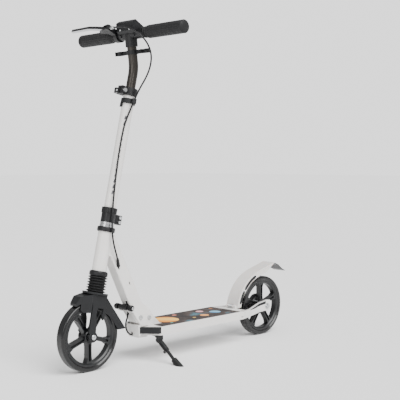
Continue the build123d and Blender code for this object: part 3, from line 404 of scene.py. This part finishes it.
# ---- Mesh and curve helpers ----------------------------------------------------------------------
def as_piece(name, mesh, material, body, smooth=True):
    """Object of a mesh, in its finish, riding on a body."""
    piece = bpy.data.objects.new(name, mesh)
    bpy.context.scene.collection.objects.link(piece)
    mesh.materials.append(material)
    if smooth:
        mesh.shade_smooth()
    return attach(piece, body) if body else piece


def frame_along(direction):
    """Two unit vectors square to a direction."""
    direction = direction.normalized()
    helper = Vector((0, 0, 1)) if abs(direction.z) < 0.9 else Vector((1, 0, 0))
    across = direction.cross(helper).normalized()
    return across, direction.cross(across).normalized()


def run_at(line, k):
    """Direction of a line of points at one of them."""
    return (line[min(k + 1, len(line) - 1)] - line[max(k - 1, 0)]).normalized()


def ring_of(shape, centre, across, upward, radius_mm, sides):
    """Ring of points round a centre, in the plane of two directions."""
    turns = [2 * pi * k / sides for k in range(sides)]
    return [
        shape.verts.new(centre + (across * cos(turn) + upward * sin(turn)) * radius_mm * mm)
        for turn in turns
    ]


def join_rings(shape, rings):
    """Skin of four-sided faces from each ring to the next."""
    for ring, following in zip(rings, rings[1:]):
        for k in range(len(ring)):
            beside = (k + 1) % len(ring)
            shape.faces.new((ring[k], ring[beside], following[beside], following[k]))


def mesh_of(name, shape):
    """Mesh of a finished shape, with its faces turned outwards."""
    bmesh.ops.recalc_face_normals(shape, faces=shape.faces)
    mesh = bpy.data.meshes.new(name)
    shape.to_mesh(mesh)
    shape.free()
    return mesh


def turned(name, start, direction, profile, material, body, sides=32):
    """Turned piece along a unit direction; profile is (distance along, radius) in millimetres."""
    across, upward = frame_along(direction)
    shape = bmesh.new()
    rings = [
        ring_of(shape, start + direction * along * mm, across, upward, radius, sides)
        for along, radius in profile
    ]
    join_rings(shape, rings)
    shape.faces.new(rings[0])
    shape.faces.new(rings[-1])
    return as_piece(name, mesh_of(name, shape), material, body)


def line_of(points):
    """Smooth line through the bends of a route, with its points as the spline's controls."""
    curve = bpy.data.curves.new("route", "CURVE")
    curve.dimensions = "3D"
    curve.resolution_u = 16
    spline = curve.splines.new("NURBS")
    spline.points.add(len(points) - 1)
    for control, point in zip(spline.points, points):
        control.co = (*point, 1)
    spline.order_u = 3
    spline.use_endpoint_u = True
    holder = bpy.data.objects.new("route", curve)
    bpy.context.scene.collection.objects.link(holder)
    bpy.context.view_layer.update()
    sampled = bpy.data.meshes.new_from_object(holder)
    line = [vertex.co.copy() for vertex in sampled.vertices]
    bpy.data.objects.remove(holder)
    bpy.data.curves.remove(curve)
    bpy.data.meshes.remove(sampled)
    return line


def tube_along(name, line, radius_mm, material, body, sides=14):
    """Closed round tube along a line of points; its radius is a number, or a function of the share."""
    shape = bmesh.new()
    rings = []
    across = frame_along(line[1] - line[0])[0]
    for k, point in enumerate(line):
        run = run_at(line, k)
        across = (across - run * across.dot(run)).normalized()
        radius = radius_mm(k / (len(line) - 1)) if callable(radius_mm) else radius_mm
        rings.append(ring_of(shape, point, across, run.cross(across), radius, sides))
    join_rings(shape, rings)
    shape.faces.new(rings[0])
    shape.faces.new(rings[-1])
    return as_piece(name, mesh_of(name, shape), material, body)


# ---- Brake cable, in three lengths that meet at the joints ---------------------------------------
cable_diameter = 5 * mm
guide_centre = on_stem(2, 27.5, 684.75)
guide_run = Vector((9, -6, -25)) * mm
tube_entry = Vector((281.2, 18.2, 291.5)) * mm
tube_entry_run = Vector((-8, -7, -21)) * mm
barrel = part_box("barrel_adjuster")
barrel_mouth = sum(barrel, Vector()) / 2
barrel_mouth.y = barrel[1].y


def from_axle(*points):
    """Points given in millimetres from the front axle's place on the ground."""
    return [Vector((front_axle.x + x * mm, y * mm, z * mm)) for x, y, z in points]


upper_route = [
    barrel_mouth, barrel_mouth + Vector((0, 22, 0)) * mm,
    *from_axle(
        (-129, 26, 979), (-137, 53, 966), (-147, 75, 947), (-160, 86, 921), (-171, 84, 893),
        (-175, 73, 863), (-173, 57, 834),
    ),
    guide_centre - guide_run * 1.3, guide_centre,
]
lower_route = [
    guide_centre, guide_centre + guide_run * 1.3,
    *from_axle(
        (-126, 16, 700), (-113, 15.5, 652), (-101, 16.5, 600), (-91, 18, 548), (-81, 20.5, 496),
        (-71, 26.5, 450), (-66, 30, 410), (-67, 31.5, 374), (-76, 31, 342),
    ),
    tube_entry - tube_entry_run * 1.1, tube_entry,
]
rear_route = [
    tube_entry, tube_entry + tube_entry_run * 1.1,
    *[Vector(point) * mm for point in (
        (257, 5, 237), (238, -2, 200), (222, -6, 165), (224, -6, 138), (236, -5, 112),
        (228, -4, 86), (203, -4, 76), (165, -3.5, 83.5), (99, -2, 83), (33, -4, 84), (-33, -2, 83),
        (-99, -4, 84), (-165, -2, 83.5), (-222, -5, 83.5), (-257, -14, 80), (-293, -24.4, 72.5),
        (-332.8, -24.8, 68),
    )],
]
# The end of the rear length's bend lies straight below its hole in the down tube.
rear_bend_end = rear_route[4] - Vector((0, 0, 65)) * mm
# Each length: its route, its real length, the bodies at its ends, and where it starts and stops bending.
cable_lengths = {
    "brake_cable_upper": (upper_route, 0.314, ("handlebar", "stem"), upper_route[3], upper_route[-1]),
    "brake_cable_lower": (lower_route, 0.496, ("stem", "neck"), lower_route[8], lower_route[-2]),
    "brake_cable_rear": (rear_route, 0.788, ("neck", "frame"), rear_route[4], rear_bend_end),
}
for name, (route, length, bodies, bend_start, bend_end) in cable_lengths.items():
    line = line_of(route)
    piece = tube_along(name + "_jacket", line, cable_diameter / mm / 2, cable_vinyl, None)
    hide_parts(name)
    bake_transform(piece)


def boot_radius(share):
    """Rubber boot: wide at the tube, tapered with three rings towards the cable."""
    return 5.4 - 2.2 * share + 0.5 * max(0, sin(share * 6 * pi))


boot_steps = 24
boot_reach = 1.1
boot_line = [tube_entry - tube_entry_run * (k / boot_steps) * boot_reach for k in range(boot_steps + 1)]
tube_along("cable_boot", boot_line, boot_radius, seal_rubber, "neck", sides=24)

# ---- Fork bellows and spring, riding on the fork -------------------------------------------------
bellows_low, bellows_high = 125.0, 171.2
bellows_middle_radius, bellows_rib_depth, bellows_wall = 25.2, 3.1, 1.6
bellows_ribs, bellows_steps_per_rib, bellows_sides = 6, 12, 64
bellows_foot = on_stem(0, 0, bellows_low)


def bellows_radius(share, inset):
    """Rounded ribs: the radius swings between the folds and the crests."""
    return bellows_middle_radius - bellows_rib_depth * cos(2 * pi * share * bellows_ribs) - inset


bellows_steps = bellows_steps_per_rib * bellows_ribs
bellows_loop = []
for inset, order in ((0, range(bellows_steps + 1)), (bellows_wall, range(bellows_steps, -1, -1))):
    for step in order:
        share = step / bellows_steps
        bellows_loop.append((share * (bellows_high - bellows_low), bellows_radius(share, inset)))
shape = bmesh.new()
across, upward = frame_along(up_stem)
rings = [
    ring_of(shape, bellows_foot + up_stem * along * mm, across, upward, radius, bellows_sides)
    for along, radius in bellows_loop
]
join_rings(shape, rings + rings[:1])
bellows = as_piece("fork_bellows", mesh_of("fork_bellows", shape), seal_rubber, "fork_assembly")
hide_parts("bellows")
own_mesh(bellows)

coil_low, coil_length, coil_pitch = 127, 41, 8.6
coil_radius, coil_wire_radius, coil_steps = 14, 1.5, 32
coil_line = []
for k in range(int(coil_length / coil_pitch * coil_steps) + 1):
    turn = k / coil_steps
    coil_line.append(on_stem(
        coil_radius * cos(2 * pi * turn), coil_radius * sin(2 * pi * turn), coil_low + coil_pitch * turn,
    ))
coil = tube_along("fork_coil_spring", coil_line, coil_wire_radius, zinc, "fork_assembly", sides=10)
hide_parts("fork_spring")
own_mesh(coil)

# ---- Grips: ribbed pads round a moulded sleeve ---------------------------------------------------
grip_inner, grip_outer = 66, 225
grip_flange_end, grip_neck_end, grip_pads_start = grip_inner + 4, grip_inner + 7, grip_inner + 15
grip_groove_start, grip_cap_start, grip_taper_start = grip_outer - 14, grip_outer - 12, grip_outer - 3
grip_radius_over_pads, grip_pad_gap, grip_pad_rows, grip_pad_pitch = 19, 0.7, 20, 10
grip_neck_radius, grip_neck_rise, grip_flange_radius, grip_groove_radius = 14, 4.9, 16.5, 17.6
grip_bore_radius = 11.3
grip_steps, grip_sides = 190, 120
grip_angles = [2 * pi * k / grip_sides for k in range(grip_sides)]


def grip_radius(along, angle):
    """Radius of the grip in millimetres: an inner flange, padded middle and smooth end cap."""
    if along < grip_flange_end:
        return grip_flange_radius
    if along < grip_neck_end:
        return grip_neck_radius
    if along < grip_pads_start:
        share = (along - grip_neck_end) / (grip_pads_start - grip_neck_end)
        return grip_neck_radius + share * grip_neck_rise
    if along >= grip_taper_start:
        return grip_radius_over_pads - (along - grip_taper_start)
    if along >= grip_cap_start:
        return grip_radius_over_pads
    if along > grip_groove_start:
        return grip_groove_radius
    ring = (along - grip_pads_start) / grip_pad_pitch % 1
    row = angle / (2 * pi) * grip_pad_rows % 1
    on_pad = 0.12 < ring < 0.88 and 0.2 < row < 0.8
    return grip_radius_over_pads if on_pad else grip_radius_over_pads - grip_pad_gap


def grip_ring(shape, side, along, radii):
    """Ring of points round the bar; the distance along it and the radii are in millimetres."""
    return [
        shape.verts.new(bar_centre + Vector((radius * cos(angle), side * along, radius * sin(angle))) * mm)
        for angle, radius in zip(grip_angles, radii)
    ]


for hand, side in hands:
    shape = bmesh.new()
    rings = []
    for step in range(grip_steps + 1):
        along = grip_inner + (grip_outer - grip_inner) * step / grip_steps
        rings.append(grip_ring(shape, side, along, [grip_radius(along, angle) for angle in grip_angles]))
    join_rings(shape, rings)
    shape.faces.new(rings[-1])
    join_rings(shape, [rings[0], grip_ring(shape, side, grip_inner, [grip_bore_radius] * grip_sides)])
    grip = as_piece("ribbed_grip_" + hand, mesh_of("grip", shape), grip_rubber, hand + "_handle")
    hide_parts("grip_" + hand)

# ---- Foot brake: painted shade as dark panels in its skirts' windows, and its return spring ------
fender_line = [(-231, 116), (-239, 140), (-257, 170), (-283, 196), (-312, 213), (-334, 221.5)]
fender_half_width = 25
panel_proud, panel_sunk = 0.35, 0.2
window_top, window_bottom = 5.5, 15.5
window_rounding, window_rounding_steps = 2.6, 5


def thin_panel(name, pairs, outward, material, body):
    """Thin closed plate that stands just proud of a face; pairs gives points on its two edges."""
    shape = bmesh.new()
    outside, inside = (
        [[shape.verts.new(point + outward * depth * mm) for point in pair] for pair in pairs]
        for depth in (panel_proud, -panel_sunk)
    )
    for k in range(len(pairs) - 1):
        for layer in (outside, inside):
            shape.faces.new((layer[k][0], layer[k + 1][0], layer[k + 1][1], layer[k][1]))
        for edge in (0, 1):
            shape.faces.new((outside[k][edge], outside[k + 1][edge], inside[k + 1][edge], inside[k][edge]))
    for k in (0, -1):
        shape.faces.new((outside[k][0], outside[k][1], inside[k][1], inside[k][0]))
    return as_piece(name, mesh_of(name, shape), material, body, smooth=False)


def window_shade_between(name, shares, side):
    """Dark panel of painted shade in a skirt's recessed window, between two shares of the mudguard's length.
    """
    line = line_of([Vector((x, 0, z)) * mm for x, z in fender_line])
    first, last = (int(share * (len(line) - 1)) for share in shares)
    pairs = []
    for k in range(first, last + 1):
        run = run_at(line, k)
        inward = Vector((-run.z, 0, run.x))
        if inward.dot(rear_axle - line[k]) < 0:
            inward = -inward
        end = min(k - first, last - k)
        trim = window_rounding * max(0, 1 - end / window_rounding_steps) ** 2
        face = line[k] + left * side * fender_half_width * mm
        pairs.append((
            face + inward * (window_top + trim) * mm, face + inward * (window_bottom - trim) * mm,
        ))
    return thin_panel(name, pairs, left * side, nylon, "tread_brake")


# Painted shade: flat dark panels on the skirts stand in for the shade inside their recessed windows.
for hand, side in hands:
    window_shade_between(f"skirt_window_shade_low_{hand}", (0.04, 0.36), side)
    window_shade_between(f"skirt_window_shade_high_{hand}", (0.4, 0.92), side)

spring_hinge = Vector((-226, 0, 112)) * mm
spring_radius, spring_wire_radius, spring_width = 6.4, 0.9, 18
spring_turns, spring_steps_per_turn = 7, 16
spring_steps = spring_turns * spring_steps_per_turn
spring_line = []
for k in range(spring_steps + 1):
    turn = 2 * pi * k / spring_steps_per_turn
    aside = -spring_width / 2 + spring_width * k / spring_steps
    spring_line.append(
        spring_hinge + Vector((spring_radius * sin(turn), aside, spring_radius * cos(turn))) * mm
    )
tube_along("foot_brake_spring", spring_line, spring_wire_radius, zinc, "frame", sides=8)

# ---- Rear stays: dark wedges of painted shade on their outer sides -------------------------------
stay_tail_face, stay_flare, stay_flare_start, stay_flare_run = 34.5, 35.5, -330, 120


def stay_face(x):
    """Outer face of a stay, in millimetres from the middle: straight at the tail, then flared."""
    return stay_tail_face + stay_flare * max(0, (x - stay_flare_start) / stay_flare_run)


# Each station: distance along the scooter, and the wedge's lower and upper edge, in millimetres.
wedge_stations = [(-258, 101.5, 103), (-290, 101, 107.4), (-330, 104.5, 113), (-364, 108.5, 117.5)]
# Painted shade: a dark sheet on each stay's outer side stands in for the shade in the stay's channel.
for hand, side in hands:
    edges = [
        [Vector((x, side * stay_face(x), height)) * mm for height in (low, high)]
        for x, low, high in wedge_stations
    ]
    thin_panel(f"stay_shade_wedge_{hand}", edges, left * side, nylon, "frame")

# ---- Small fittings ------------------------------------------------------------------------------
screw_head = [(0, 2.6), (1.4, 2.6), (1.9, 2.0), (1.9, 1.2), (0.9, 1.0), (0.9, 0.0)]
screw_sink = 1.8
forward = Vector((1, 0, 0))
for hand, side in hands:
    cover_face = Vector((239.1, 20 * side, 975)) * mm
    seat = cover_face - forward * screw_sink * mm
    turned(f"bar_cover_screw_{hand}", seat, forward, screw_head, zinc, "handlebar")

latch = sum(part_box("latch_bolt"), Vector()) / 2
latch_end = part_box("latch_bolt")[1].y
cap_profile = [(0, 4.6), (1.0, 4.6), (1.6, 3.8), (1.6, 0)]
for hand, side in hands:
    end = Vector((latch.x, side * (latch_end - 0.4 * mm), latch.z))
    turned(f"latch_cap_{hand}", end, left * side, cap_profile, zinc, "latch")

# Plain bars laid as film along the stem tube, a generic trim in place of any lettering.
stem_radius = 17.12
trim_angle = radians(46)
trim_start, trim_pitch, trim_count = 408, 17, 14
trim_length, trim_width, trim_slant, trim_columns = 11, 4.6, 0.12, 7
shape = bmesh.new()
for bar in range(trim_count):
    foot = trim_start + trim_pitch * bar
    rows = []
    for along, slant in ((foot, 0), (foot + trim_length, trim_slant)):
        turns = [
            trim_angle + slant + trim_width / stem_radius * (k / (trim_columns - 1) - 0.5)
            for k in range(trim_columns)
        ]
        rows.append([
            shape.verts.new(on_stem(stem_radius * cos(turn), stem_radius * sin(turn), along))
            for turn in turns
        ])
    for k in range(trim_columns - 1):
        shape.faces.new((rows[0][k], rows[0][k + 1], rows[1][k + 1], rows[1][k]))
as_piece("stem_trim_film", mesh_of("stem_trim_film", shape), trim_film, "stem")

# ---- Floor and light -----------------------------------------------------------------------------
floor_mesh = bpy.data.meshes.new("floor")
reach = 30
floor_corners = [(-reach, -reach, 0), (reach, -reach, 0), (reach, reach, 0), (-reach, reach, 0)]
floor_mesh.from_pydata(floor_corners, [], [(0, 1, 2, 3)])
floor = bpy.data.objects.new("floor", floor_mesh)
bpy.context.scene.collection.objects.link(floor)
floor_paint = new_material("studio_floor_paint", {"Base Color": srgb("#f6f6f6"), "Roughness": 0.9})[0]
floor_mesh.materials.append(floor_paint)

world = bpy.data.worlds.new("studio")
bpy.context.scene.world = world
world.use_nodes = True
wall = world.node_tree.nodes["Background"]
wall.inputs["Color"].default_value = srgb("#ffffff")
seen = add(world.node_tree, "ShaderNodeLightPath").outputs["Is Camera Ray"]
# The wall is seen as bright as the lit floor, and lights the scooter with less than that.
brightness = add(world.node_tree, "ShaderNodeMapRange", {"Value": seen, "To Min": 0.6, "To Max": 1.75})
world.node_tree.links.new(brightness.outputs["Result"], wall.inputs["Strength"])


def studio_light(name, kind, place, power, size):
    """Soft light aimed at the middle of the scooter."""
    lamp = bpy.data.objects.new(name, bpy.data.lights.new(name, kind))
    bpy.context.scene.collection.objects.link(lamp)
    lamp.data.energy = power
    if kind == "SUN":
        lamp.data.angle = size
    else:
        lamp.data.size = size
    lamp.location = place
    aim = Vector((0, 0, 0.4)) - Vector(place)
    lamp.rotation_euler = aim.to_track_quat("-Z", "Y").to_euler()


studio_light("key_light", "SUN", (0.5, 3.0, 3.8), 5.4, radians(50))
studio_light("side_softbox", "AREA", (3.0, 0.6, 1.6), 26, 1.4)
